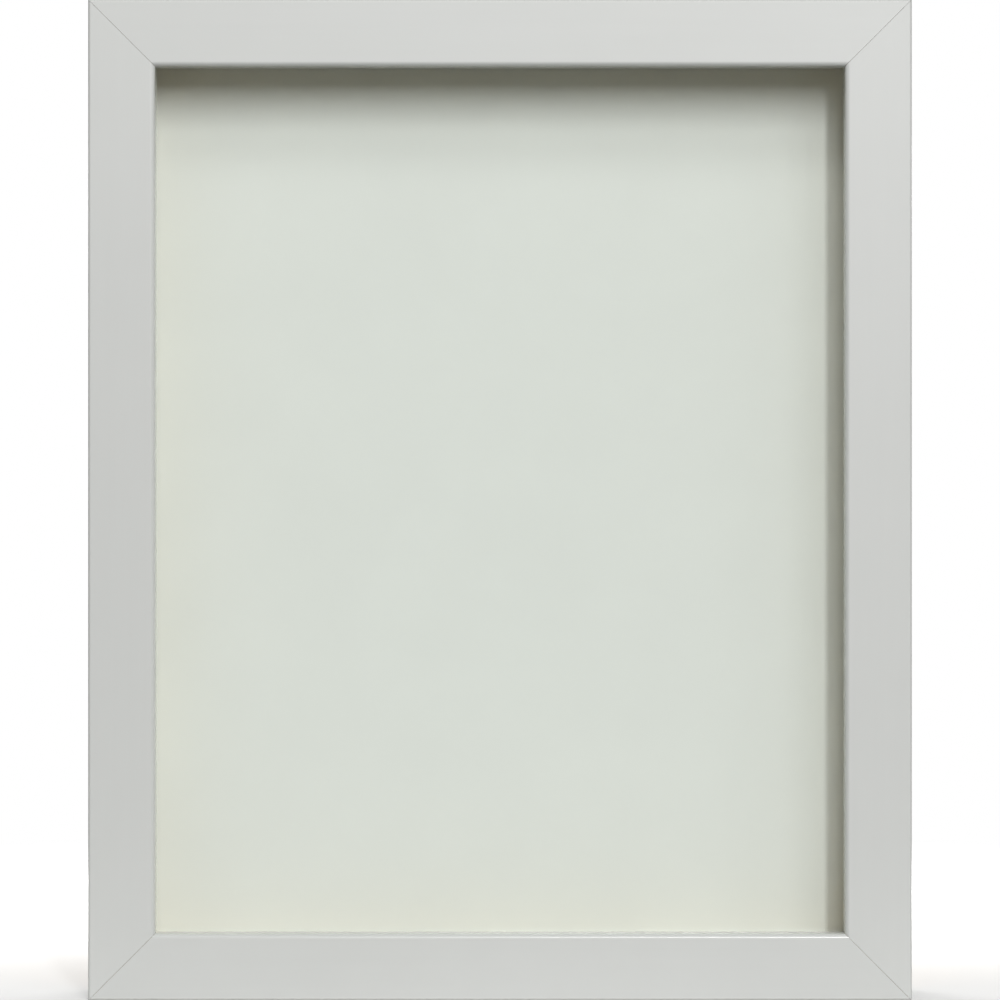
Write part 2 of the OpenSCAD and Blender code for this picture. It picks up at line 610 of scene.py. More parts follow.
@dataclass(frozen=True)
class BareWood:
    """Planed pale wood with a little overspray along the outer edges.

    Args:
        name: the material's name.
        grain: the way the wood runs.
        half_width: half the outer width of the box.
        height: the outer height of the box.
        light: the wood's lighter tone.
        dark: its darker tone.
        pore: the tone of its pores.
        paint: the tone of the overspray.
    """

    name: str
    grain: Axis
    half_width: float
    height: float
    light: Colour = (0.60, 0.455, 0.29)
    dark: Colour = (0.42, 0.285, 0.165)
    pore: Colour = (0.30, 0.19, 0.11)
    paint: Colour = (0.645, 0.658, 0.641)

    def overspray(self, s: Shading) -> bpy.types.NodeSocket:
        """How much paint lies on the wood: most at the outer edges, none a few millimetres in.

        Args:
            s: the node tree it is worked out in.

        Returns:
            The paint's share, from 0 to 1.
        """
        apart = s.add("ShaderNodeSeparateXYZ")
        s.feed(apart.inputs[0], s.place)
        sideways = s.maths("SUBTRACT", self.half_width, s.maths("ABSOLUTE", apart.outputs["X"]))
        above = s.maths("SUBTRACT", self.height, apart.outputs["Z"])
        edge = s.maths("MINIMUM", sideways, s.maths("MINIMUM", above, apart.outputs["Z"]))
        mist = s.maths("MULTIPLY", s.noise(s.place, scale=900.0, detail=4.0, roughness=0.75), 2.0 * MM)
        return s.ranged(s.maths("ADD", edge, mist), 1.0 * MM, 2.3 * MM, 0.85, 0.0)

    def material(self) -> bpy.types.Material:
        """Builds the finish.

        Returns:
            Its material.
        """
        s = Shading(self.name)
        wide, fine, saw = [170.0] * 3, [2600.0] * 3, [60.0] * 3
        wide[self.grain.value], fine[self.grain.value], saw[self.grain.value] = 5.0, 90.0, 900.0
        figure = s.noise(s.stretched(wide), detail=5.0, roughness=0.6)
        pores = s.noise(s.stretched(fine), detail=2.0)
        marks = s.noise(s.stretched(saw), detail=1.0)
        wood = s.blend(s.ranged(figure, 0.32, 0.68), self.light, self.dark)
        wood = s.blend(s.ranged(pores, 0.60, 0.74, 0.0, 0.75), wood, self.pore)
        paint = self.overspray(s)
        relief = s.bump(s.ranged(pores, 0.5, 0.75, 1.0, 0.0), 0.05 * MM, s.bump(marks, 0.05 * MM))
        return s.surface(Base_Color=s.blend(paint, wood, self.paint),
                         Roughness=s.ranged(paint, 0.0, 1.0, 0.78, 0.5),
                         Specular_IOR_Level=0.35, Normal=relief)


@dataclass(frozen=True)
class Card:
    """Matt card with a faint mottle and short paper fibres.

    Args:
        name: the material's name.
        light: its lighter tone.
        dark: its darker tone.
        layered: whether this is a cut edge, which shows the plies.
    """

    name: str
    light: Colour
    dark: Colour
    layered: bool = False

    def material(self) -> bpy.types.Material:
        """Builds the finish.

        Returns:
            Its material.
        """
        s = Shading(self.name)
        mottle = s.noise(s.place, scale=38.0, detail=3.0)
        fibres = s.noise(s.stretched((900.0, 900.0, 2600.0), (0.0, 0.5, 0.0)), detail=3.0, roughness=0.65)
        share = s.ranged(s.maths("ADD", s.maths("MULTIPLY", mottle, 0.75),
                                 s.maths("MULTIPLY", fibres, 0.25)), 0.34, 0.66)
        depth = 0.010
        if self.layered:
            share = s.ranged(s.noise(s.stretched((45.0, 5200.0, 45.0)), detail=2.0), 0.38, 0.62)
            depth = 0.05
        return s.surface(Base_Color=s.blend(share, self.dark, self.light), Roughness=0.86,
                         Specular_IOR_Level=0.25,
                         Normal=s.bump(share if self.layered else fibres, depth * MM))


@dataclass(frozen=True)
class Hardboard:
    """Pressed brown fibreboard.

    Args:
        name: the material's name.
        rough: whether this is the cut edge, which is duller and woollier.
        light: the board's lighter tone.
        dark: its darker tone.
        fleck: the tone of its palest fibres.
    """

    name: str
    rough: bool = False
    light: Colour = (0.345, 0.222, 0.125)
    dark: Colour = (0.262, 0.162, 0.088)
    fleck: Colour = (0.44, 0.305, 0.185)

    def material(self) -> bpy.types.Material:
        """Builds the finish.

        Returns:
            Its material.
        """
        s = Shading(self.name)
        cloud = s.noise(s.place, scale=34.0, detail=5.0, roughness=0.62)
        grit = s.noise(s.place, scale=1300.0, detail=3.0, roughness=0.7)
        base = s.blend(s.ranged(cloud, 0.2, 0.8), self.dark, self.light)
        for turn, fine in ((0.35, 1.0), (1.25, 1.4), (2.2, 1.15), (2.75, 1.7)):
            scale = (210.0 * fine, 700.0, 1500.0 * fine)
            strands = s.noise(s.stretched(scale, (0.0, turn, 0.0)), detail=3.0, roughness=0.7)
            base = s.blend(s.ranged(strands, 0.56, 0.78, 0.0, 0.5), base, self.fleck)
            base = s.blend(s.ranged(strands, 0.24, 0.40, 0.45, 0.0), base, self.dark)
        base = s.blend(s.ranged(grit, 0.56, 0.74, 0.0, 0.4), base, self.dark)
        relief = s.bump(grit, (0.09 if self.rough else 0.022) * MM)
        return s.surface(Base_Color=base, Roughness=0.9 if self.rough else 0.62,
                         Specular_IOR_Level=0.3, Normal=relief)


@dataclass(frozen=True)
class PlatedSteel:
    """Zinc-plated sheet or wire, brushed by tumbling, with a faint blue and straw cast.

    Args:
        name: the material's name.
        cool: the bluish tone.
        warm: the straw tone.
        shine: the roughness of its brightest patches.
    """

    name: str
    cool: Colour = (0.66, 0.685, 0.71)
    warm: Colour = (0.72, 0.71, 0.68)
    shine: float = 0.28

    def material(self) -> bpy.types.Material:
        """Builds the finish.

        Returns:
            Its material.
        """
        s = Shading(self.name)
        cast = s.noise(s.place, scale=150.0, detail=2.0)
        scuffs = s.noise(s.stretched((3200.0, 3200.0, 700.0), (0.0, 0.6, 0.3)), detail=3.0, roughness=0.6)
        return s.surface(Base_Color=s.blend(s.ranged(cast, 0.35, 0.65), self.cool, self.warm),
                         Metallic=1.0,
                         Roughness=s.ranged(scuffs, 0.3, 0.7, self.shine, self.shine + 0.12),
                         Normal=s.bump(scuffs, 0.003 * MM))


@dataclass(frozen=True)
class Rubber:
    """Moulded dark rubber with a dusty, fine-grained skin.

    Args:
        name: the material's name.
        dark: the tone of clean rubber.
        dust: the tone where it is dusty.
    """

    name: str
    dark: Colour = (0.030, 0.030, 0.031)
    dust: Colour = (0.085, 0.083, 0.08)

    def material(self) -> bpy.types.Material:
        """Builds the finish.

        Returns:
            Its material.
        """
        s = Shading(self.name)
        grain = s.noise(s.place, scale=2600.0, detail=2.0)
        dust = s.noise(s.place, scale=320.0, detail=4.0)
        return s.surface(Base_Color=s.blend(s.ranged(dust, 0.45, 0.75), self.dark, self.dust),
                         Roughness=s.ranged(dust, 0.3, 0.7, 0.58, 0.8),
                         Normal=s.bump(grain, 0.02 * MM))


@dataclass(frozen=True)
class ClearPane:
    """Thin clear glass: mostly open, with a mirror sheen that grows at a slant.

    Args:
        name: the material's name.
        tint: what each face lets through.
        index: the glass's refractive index.
    """

    name: str
    tint: Colour = (0.986, 0.993, 0.986)
    index: float = 1.5

    def material(self) -> bpy.types.Material:
        """Builds the finish.

        Returns:
            Its material.
        """
        s = Shading(self.name)
        through = s.add("ShaderNodeBsdfTransparent")
        s.feed(through.inputs["Color"], self.tint)
        sheen = s.add("ShaderNodeBsdfGlossy")
        s.feed(sheen.inputs["Color"], (0.96, 1.0, 0.98))
        s.feed(sheen.inputs["Roughness"], 0.015)
        fresnel = s.add("ShaderNodeFresnel")
        inside = s.add("ShaderNodeNewGeometry").outputs["Backfacing"]
        s.feed(fresnel.inputs["IOR"], s.ranged(inside, 0.0, 1.0, self.index, 1.0 / self.index))
        mix = s.add("ShaderNodeMixShader")
        s.feed(mix.inputs["Fac"], fresnel.outputs["Fac"])
        s.feed(mix.inputs[1], through.outputs["BSDF"])
        s.feed(mix.inputs[2], sheen.outputs["BSDF"])
        s.feed(s.output.inputs["Surface"], mix.outputs["Shader"])
        return s.material


@dataclass(frozen=True)
class StudioFloor:
    """A pale matt floor that fades into the white surround.

    Args:
        name: the material's name.
        centre: the depth of its middle.
        solid: how far out it stays whole.
        gone: how far out it has faded away.
        colour: the paper's colour.
    """

    name: str
    centre: float
    solid: float
    gone: float
    colour: Colour = (0.74, 0.74, 0.735)

    def material(self) -> bpy.types.Material:
        """Builds the finish.

        Returns:
            Its material.
        """
        s = Shading(self.name)
        length = s.add("ShaderNodeVectorMath", operation="DISTANCE")
        s.feed(length.inputs[0], s.place)
        s.feed(length.inputs[1], (0.0, self.centre, 0.0))
        paper = s.add("ShaderNodeBsdfDiffuse")
        s.feed(paper.inputs["Color"], self.colour)
        clear = s.add("ShaderNodeBsdfTransparent")
        mix = s.add("ShaderNodeMixShader")
        s.feed(mix.inputs["Fac"], s.ranged(length.outputs["Value"], self.solid, self.gone))
        s.feed(mix.inputs[1], paper.outputs["BSDF"])
        s.feed(mix.inputs[2], clear.outputs["BSDF"])
        s.feed(s.output.inputs["Surface"], mix.outputs["Shader"])
        return s.material


def dress(piece: bpy.types.Object, first: bpy.types.Material,
          *rest: tuple[bpy.types.Material, FaceTest]) -> None:
    """Gives a piece its materials.

    Args:
        piece: the piece to dress.
        first: the material of every face that no test takes.
        rest: more materials, each with a test on a face's centre and normal.
    """
    piece.data.materials.clear()
    piece.data.materials.append(first)
    for index, (material, test) in enumerate(rest, start=1):
        piece.data.materials.append(material)
        for face in piece.data.polygons:
            if test(face.center, face.normal):
                face.material_index = index


# ---------------------------------------------------------------- sub-assemblies


@dataclass
class CornerNails:
    """The V-shaped nails driven across the mitres from the back.

    Args:
        at: the shared places.
        leg: the length of a nail's leg.
        thickness: the thickness of its steel.
        depth: how deep it reaches.
        sunk: how far its head lies below the wood.
        slack: how much wider its slot is, each side.
        clear: how far a cutter runs past the wood.
        inset: how far in from both outer edges each nail's point is.
        head_edge: the softness of the edges of its head.
    """

    at: Places
    leg: float = 4.2 * MM
    thickness: float = 0.6 * MM
    depth: float = 8.0 * MM
    sunk: float = 0.3 * MM
    slack: float = 0.12 * MM
    clear: float = 1.0 * MM
    inset: tuple[float, ...] = (6.01 * MM, 10.96 * MM)
    head_edge: float = 0.12 * MM

    def in_corner(self, piece: bpy.types.Object, right: bool, top: bool) -> bpy.types.Object:
        """Mirrors what was modelled in the lower left corner into another one."""
        flip = Matrix.Diagonal((-1 if right else 1, 1, -1 if top else 1, 1))
        return settle(piece, Matrix.Translation((0, 0, self.at.height if top else 0)) @ flip)

    def nail(self, name: str, inset: float) -> bpy.types.Object:
        """Models one nail in the lower left corner, its point on the mitre.

        Args:
            name: the nail's name.
            inset: how far in from both outer edges its point is.

        Returns:
            The nail.
        """
        half, reach = self.thickness / 2, self.leg - self.thickness / 2
        x, head = inset - self.at.width / 2, self.at.back - self.sunk
        nail = add_block(name, (x - half, self.at.back - self.depth, inset - half),
                         (x + half, head, inset + half))
        with Editing(nail) as edit:
            edit.faces(lambda centre, normal: normal.x < -0.9)
            edit.extrude((-reach, 0, 0))
            edit.faces(lambda centre, normal: normal.z < -0.9 and centre.x > x - half)
            edit.extrude((0, 0, -reach))
            edit.edges(lambda point: abs(point.y - head) < NEAR)
            edit.round_edges(self.head_edge, 2)
        return nail

    def slot(self, inset: float, level: bool) -> bpy.types.Object:
        """Models the cutter for one leg's slot in the lower left corner.

        Args:
            inset: how far in from both outer edges the nail's point is.
            level: whether the rail runs level, so that its leg stands upright.

        Returns:
            The cutter, which runs on past the mitre.
        """
        half = self.thickness / 2 + self.slack
        across = (inset - half, inset + half)
        along = (inset - self.leg - self.slack, inset + half + self.clear)
        x, z = (across, along) if level else (along, across)
        left = -self.at.width / 2
        return add_block("slot", (left + x[0], self.at.back - self.depth - self.slack, z[0]),
                         (left + x[1], self.at.back + self.clear, z[1]))

    def corners(self) -> list[tuple[bool, bool, float]]:
        """Each nail's corner, as right and top, and its inset."""
        return [(right, top, inset) for right in (False, True) for top in (False, True)
                for inset in self.inset]

    def slots(self, level: bool, reaches: Callable[[bool, bool], bool]) -> list[bpy.types.Object]:
        """The cutters for the slots in one rail, at the corners that it reaches."""
        return [self.in_corner(self.slot(inset, level), right, top)
                for right, top, inset in self.corners() if reaches(right, top)]

    def build(self, steel: bpy.types.Material) -> None:
        """Models and dresses the nails.

        Args:
            steel: the finish of the nails.
        """
        for index, (right, top, inset) in enumerate(self.corners(), start=1):
            nail = self.in_corner(self.nail(f"corner_nail_{index}", inset), right, top)
            smooth(nail)
            dress(nail, steel)
            deliver(nail, ROOT_BODY, "nail_steel", "corner_nails")


@dataclass
class MitredFrame:
    """The four rails, mitred, rebated and painted.

    Args:
        at: the shared places.
        nails: the nails, which cut their slots in the rails.
        outer_edge: the radius of the outer front edge.
        inner_edge: the radius of the inner front edge.
        back_edge: the radius of the outer back edge.
        crisp_edge: the radius of the rebate's edges.
        mitre_edge: how deep the hairline along a mitre is.
        mitre_gap: how far each rail draws back from it.
    """

    at: Places
    nails: CornerNails
    outer_edge: float = 0.8 * MM
    inner_edge: float = 1.3 * MM
    back_edge: float = 0.4 * MM
    crisp_edge: float = 0.2 * MM
    mitre_edge: float = 0.04 * MM
    mitre_gap: float = 0.05 * MM

    def blank(self, name: str, length: float) -> bpy.types.Object:
        """Models a rail along X with its outer face down at height 0.

        Args:
            name: the rail's name.
            length: its outer length.

        Returns:
            The mitred rail, without its nail slots.
        """
        at, half = self.at, length / 2
        rail = add_block(name, (-half, at.front, 0), (half, at.glass, at.rail))
        with Editing(rail) as edit:
            edit.slice((0, 0, at.wall), (0, 0, 1))
            edit.faces(lambda centre, normal: normal.y > 0.9 and centre.z < at.wall)
            edit.extrude((0, at.back - at.glass, 0))
            edit.everything()
            bpy.ops.mesh.dissolve_limited(angle_limit=math.radians(0.5))
            for y, z, radius, segments in (
                    (at.front, 0.0, self.outer_edge, 8), (at.front, at.rail, self.inner_edge, 8),
                    (at.back, 0.0, self.back_edge, 4), (at.back, at.wall, self.crisp_edge, 2),
                    (at.glass, at.rail, self.crisp_edge, 2)):
                edit.edges(on_line(y, z))
                edit.round_edges(radius, segments)
            short = half - self.mitre_gap
            for end in (-1, 1):
                edit.slice((end * short, 0, 0), (end, 0, 1), cut_off=True)
                edit.points(lambda point: abs(end * point.x + point.z - short) < 2 * NEAR)
                bpy.ops.mesh.select_mode(type="FACE")
                bpy.ops.mesh.inset(thickness=self.mitre_edge)
                bpy.ops.transform.translate(value=(end * self.mitre_gap, 0, 0))
        return rail

    def finish(self, rail: bpy.types.Object, grain: Axis, reaches: Callable[[bool, bool], bool],
               node: str) -> None:
        """Cuts the nail slots, shades and dresses a placed rail.

        Args:
            rail: the placed rail.
            grain: the way its wood runs.
            reaches: which corners it is at.
            node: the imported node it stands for.
        """
        at = self.at
        carve(rail, self.nails.slots(grain is Axis.X, reaches))
        smooth(rail)
        wood = BareWood(f"bare_wood_{node}", grain, at.width / 2, at.height).material()
        paint = SatinPaint(f"satin_paint_{node}", grain).material()
        rubbed = SatinPaint(f"rubbed_paint_{node}", grain, sheen=0.15).material()

        def is_bare(centre: Vector, normal: Vector) -> bool:
            """Whether a face is on the back, in the rebate or in a nail slot.

            Args:
                centre: the face's centre.
                normal: its normal.

            Returns:
                Whether it is left unpainted.
            """
            edge = min(at.width / 2 - abs(centre.x), centre.z, at.height - centre.z)
            inside_rebate = edge > at.wall - self.crisp_edge and centre.y > at.glass - self.crisp_edge
            on_back = centre.y > at.back - self.back_edge / 2 and normal.y > 0.5
            in_slot = NEAR < edge < at.wall - NEAR and centre.y > at.glass and abs(normal.y) < 0.5
            return inside_rebate or on_back or in_slot

        def is_sight_edge(centre: Vector, normal: Vector) -> bool:
            """Whether a face is on the inner edge of the lip, which is rubbed smoother."""
            edge = min(at.width / 2 - abs(centre.x), centre.z, at.height - centre.z)
            return edge > at.rail - self.inner_edge and centre.y < at.glass and normal.y > -0.99

        dress(rail, paint, (wood, is_bare), (rubbed, is_sight_edge))
        deliver(rail, ROOT_BODY, "painted_wood", node)

    def build(self) -> None:
        """Models, places and dresses the four rails."""
        at = self.at
        level = self.blank("rail_bottom", at.width)
        upright = self.blank("stile_left", at.height)
        top = settle(copy_of(level, "rail_top"),
                     Matrix.Translation((0, 0, at.height)) @ Matrix.Diagonal((1, 1, -1, 1)))
        turn = Matrix.Rotation(math.pi / 2, 4, "Y")
        settle(upright, Matrix.Translation((-at.width / 2, 0, at.height / 2)) @ turn)
        right = settle(copy_of(upright, "stile_right"), Matrix.Diagonal((-1, 1, 1, 1)))
        self.finish(level, Axis.X, lambda is_right, is_top: not is_top, "bottom_rail")
        self.finish(top, Axis.X, lambda is_right, is_top: is_top, "top_rail")
        self.finish(upright, Axis.Z, lambda is_right, is_top: not is_right, "left_stile")
        self.finish(right, Axis.Z, lambda is_right, is_top: is_right, "right_stile")


@dataclass
class Glazing:
    """The sheet of glass, its cut edges seamed.

    Args:
        seam: how much is ground off its edges.
    """

    seam: float = 0.25 * MM

    def build(self) -> None:
        """Models and dresses the glass."""
        low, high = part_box("glass")
        sheet = add_block("glass_sheet", low, high)
        with Editing(sheet) as edit:
            edit.everything()
            edit.round_edges(self.seam, 1)
        dress(sheet, ClearPane("clear_pane").material())
        deliver(sheet, ROOT_BODY, "glass", "glass")


@dataclass
class Boards:
    """The spacer strips, the display board and the backing board.

    Args:
        strip_edge: the softness of a strip's edges.
        card_edge: the softness of the display board's edges.
        board_edge: the softness of the backing board's edges.
    """

    strip_edge: float = 0.12 * MM
    card_edge: float = 0.2 * MM
    board_edge: float = 0.35 * MM

    def sheet(self, name: str, node: str, edge: float) -> bpy.types.Object:
        """Models one flat strip or board with softened edges.

        Args:
            name: the piece's name.
            node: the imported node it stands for.
            edge: how soft its edges are.

        Returns:
            The piece.
        """
        low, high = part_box(node)
        piece = add_block(name, low, high)
        with Editing(piece) as edit:
            edit.everything()
            edit.round_edges(edge, 3)
        smooth(piece)
        return piece

    def build(self) -> None:
        """Models and dresses the strips and boards."""
        face = Card("spacer_card", (0.60, 0.525, 0.40), (0.555, 0.48, 0.36)).material()
        core = Card("card_core", (0.80, 0.78, 0.72), (0.62, 0.60, 0.55), layered=True).material()
        for where in ("top", "bottom", "left", "right"):
            strip = self.sheet(f"spacer_strip_{where}", f"spacer_{where}", self.strip_edge)
            dress(strip, face, (core, lambda centre, normal: abs(normal.y) > 0.7))
            deliver(strip, ROOT_BODY, "spacer_card", f"spacer_{where}")
        show = Card("display_face", (0.882, 0.902, 0.872), (0.865, 0.884, 0.855)).material()
        board = self.sheet("display_card", "display_board", self.card_edge)
        dress(board, show, (core, lambda centre, normal: abs(normal.y) < 0.5))
        deliver(board, BACK_BODY, "display_card", "display_board")
        pressed = Hardboard("hardboard_face").material()
        cut = Hardboard("hardboard_edge", rough=True).material()
        backing = self.sheet("backing_hardboard", "backing_board", self.board_edge)
        dress(backing, pressed, (cut, lambda centre, normal: abs(normal.y) < 0.5))
        deliver(backing, BACK_BODY, "hardboard", "backing_board")


@dataclass
class Screws:
    """The pan-head cross screws that hold the buttons and hangers.

    Args:
        at: the shared places.
        head: the radius of a head.
        rise: the height of a head.
        dome: the radius that rounds its top.
        shank: the radius of the shank.
        cross: half the width across the recess.
        wing: the width of one wing of the recess.
        depth: the depth of the recess.
        length: how far the shank reaches into the wood.
        head_edge: the softness of the edge under its head.
        over_button: the gap between a button and its screw's head.
        over_wood: how high a hanger's screw head is over the wood.
        draft: how much the recess narrows downwards, along and across a wing.
    """

    at: Places
    head: float = 2.8 * MM
    rise: float = 1.5 * MM
    dome: float = 1.1 * MM
    shank: float = 1.5 * MM
    cross: float = 1.55 * MM
    wing: float = 0.62 * MM
    depth: float = 1.0 * MM
    length: float = 3.0 * MM
    head_edge: float = 0.15 * MM
    over_button: float = 0.3 * MM
    over_wood: float = 1.0 * MM
    draft: tuple[float, float] = (0.55, 0.75)

    def model(self, name: str, seat: float) -> bpy.types.Object:
        """Models a screw on the local Z axis, with its head's underside at the seat.

        Args:
            name: the piece's name.
            seat: the height of the underside of its head.

        Returns:
            The screw.
        """
        top = seat + self.rise
        screw = add_disc(name, self.head, self.rise, sides=64, base=seat)
        with Editing(screw) as edit:
            edit.edges(lambda point: abs(point.z - top) < NEAR)
            edit.round_edges(self.dome, 8)
            edit.edges(lambda point: abs(point.z - seat) < NEAR)
            edit.round_edges(self.head_edge, 2)
            edit.faces(lambda centre, normal: normal.z < -0.9)
            bpy.ops.mesh.inset(thickness=self.head - self.head_edge - self.shank)
            edit.extrude((0, 0, -(seat + self.length)))
        wings = []
        for index, turn in enumerate((0.0, math.pi / 2)):
            wing = add_block(f"wing_{index}", (-self.cross, -self.wing / 2, top - self.depth),
                             (self.cross, self.wing / 2, top + self.depth))
            with Editing(wing) as edit:
                edit.faces(lambda centre, normal: normal.z < -0.9)
                bpy.ops.transform.resize(value=(*self.draft, 1.0))
            wings.append(settle(wing, Matrix.Rotation(turn, 4, "Z")))
        carve(screw, wings)
        smooth(screw)
        return screw

    def build(self, steel: bpy.types.Material) -> None:
        """Places a screw in every turn button and hanger strap, each turned its own way.

        Args:
            steel: the finish of the screws.
        """
        back = self.at.back
        button_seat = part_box("turn_button_top")[1].y - back + self.over_button
        hanger_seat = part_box("hanger_strap_left")[0].y - back + self.over_wood
        for kind, node, seat, spots in (
                ("button", "turn_button_screws", button_seat, Buttons.pivots()),
                ("hanger", "hanger_screws", hanger_seat, Hangers.screws())):
            first = self.model(f"{kind}_screw", seat)
            for index, (x, z) in enumerate(spots, start=1):
                screw = copy_of(first, f"{kind}_screw_{index}")
                settle(screw, back_matrix(x, z, back, turn=0.7 * index + 0.25 * index * index))
                dress(screw, steel)
                deliver(screw, ROOT_BODY, "screw_steel", node)
            bpy.data.objects.remove(first)


@dataclass
class Buttons:
    """The stamped turn buttons that hold the back in.

    Args:
        at: the shared places.
        lift: the gap under a button.
        thickness: the thickness of its sheet.
        reach: from the pivot to the centre of its tip.
        root: its radius at the pivot.
        tip: the radius of its tip.
        curl: how far the tip is bent up for a fingertip.
        hole: the radius of its hole.
        edge: the radius of its stamped edges.
        bends: how many small bends make the curl.
        last_bend: from the tip's end to the bend nearest it.
        bend_step: from one bend to the next.
    """

    at: Places
    lift: float = 0.3 * MM
    thickness: float = 1.2 * MM
    reach: float = 18.0 * MM
    root: float = 5.0 * MM
    tip: float = 4.0 * MM
    curl: float = 0.8 * MM
    hole: float = 1.9 * MM
    edge: float = 0.32 * MM
    bends: int = 6
    last_bend: float = 1.2 * MM
    bend_step: float = 0.75 * MM

    @staticmethod
    def joints() -> list[dict]:
        """The record's joints of the turn buttons."""
        return [j for j in frame["joints"] if j["name"].startswith("turn_button")]

    @staticmethod
    def pivots() -> list[tuple[float, float]]:
        """Each button's pivot, as its x and z."""
        return [(j["pos_m"][0], j["pos_m"][2]) for j in Buttons.joints()]

    def model(self, name: str) -> bpy.types.Object:
        """Models a button on its pivot, its blade along local +Y.

        Args:
            name: the piece's name.

        Returns:
            The button.
        """
        deselect_all()
        bpy.ops.mesh.primitive_circle_add(vertices=64, radius=self.root, fill_type="NGON",
                                          location=(0, 0, self.lift))
        button = named(name)
        with Editing(button) as edit:
            edit.points(lambda point: point.y > NEAR)
            bpy.ops.transform.resize(value=(self.tip / self.root,) * 2 + (1.0,),
                                     center_override=(0.0, 0.0, self.lift))
            bpy.ops.transform.translate(value=(0, self.reach, 0))
            edit.everything()
            edit.extrude((0, 0, self.thickness))
        face_outwards(button)
        carve(button, [add_disc("hole", self.hole, 4 * self.thickness, base=-self.thickness)])
        end = self.reach + self.tip
        rows = [end - self.last_bend - self.bend_step * step for step in range(self.bends)]
        turn = self.curl / sum(end - row for row in rows)
        with Editing(button) as edit:
            for row in rows:
                edit.slice((0, row, 0), (0, 1, 0))
            for level in (self.lift, self.lift + self.thickness):
                edit.edges(lambda point: abs(point.z - level) < NEAR and self.is_rim(point))
                edit.round_edges(self.edge, 3)
            for row in rows:
                edit.points(lambda point: point.y > row + NEAR)
                bpy.ops.transform.rotate(value=-turn, orient_axis="X",
                                         center_override=(0.0, row, self.lift + self.thickness / 2))
        smooth(button)
        return button

    def is_rim(self, point: Vector) -> bool:
        """Whether a point lies on the outline or on the hole's edge.

        Args:
            point: the point.

        Returns:
            Whether its edges are rounded.
        """
        from_pivot = math.hypot(point.x, point.y)
        from_tip = math.hypot(point.x, point.y - self.reach)
        along = min(max(point.y / self.reach, 0.0), 1.0)
        half = self.root + (self.tip - self.root) * along
        on_side = abs(abs(point.x) - half) < CLOSE and 0 <= point.y <= self.reach
        on_root = abs(from_pivot - self.root) < CLOSE and point.y <= NEAR
        on_tip = abs(from_tip - self.tip) < CLOSE and point.y >= self.reach - NEAR
        return on_side or on_root or on_tip or abs(from_pivot - self.hole) < CLOSE

    def build(self, steel: bpy.types.Material) -> None:
        """Copies the button to each pivot, turned as its node is at rest.

        Args:
            steel: the finish of the buttons.
        """
        first = self.model("turn_button")
        for joint in self.joints():
            node = joint["child"]
            x, _, z = joint["pos_m"]
            low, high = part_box(node)
            sideways = high.x - low.x > high.z - low.z
            button = copy_of(first, f"{node}_plate")
            settle(button, back_matrix(x, z, self.at.back, -math.pi / 2 if sideways else 0.0))
            dress(button, steel)
            deliver(button, node, "zinc_plate", node)
        bpy.data.objects.remove(first)


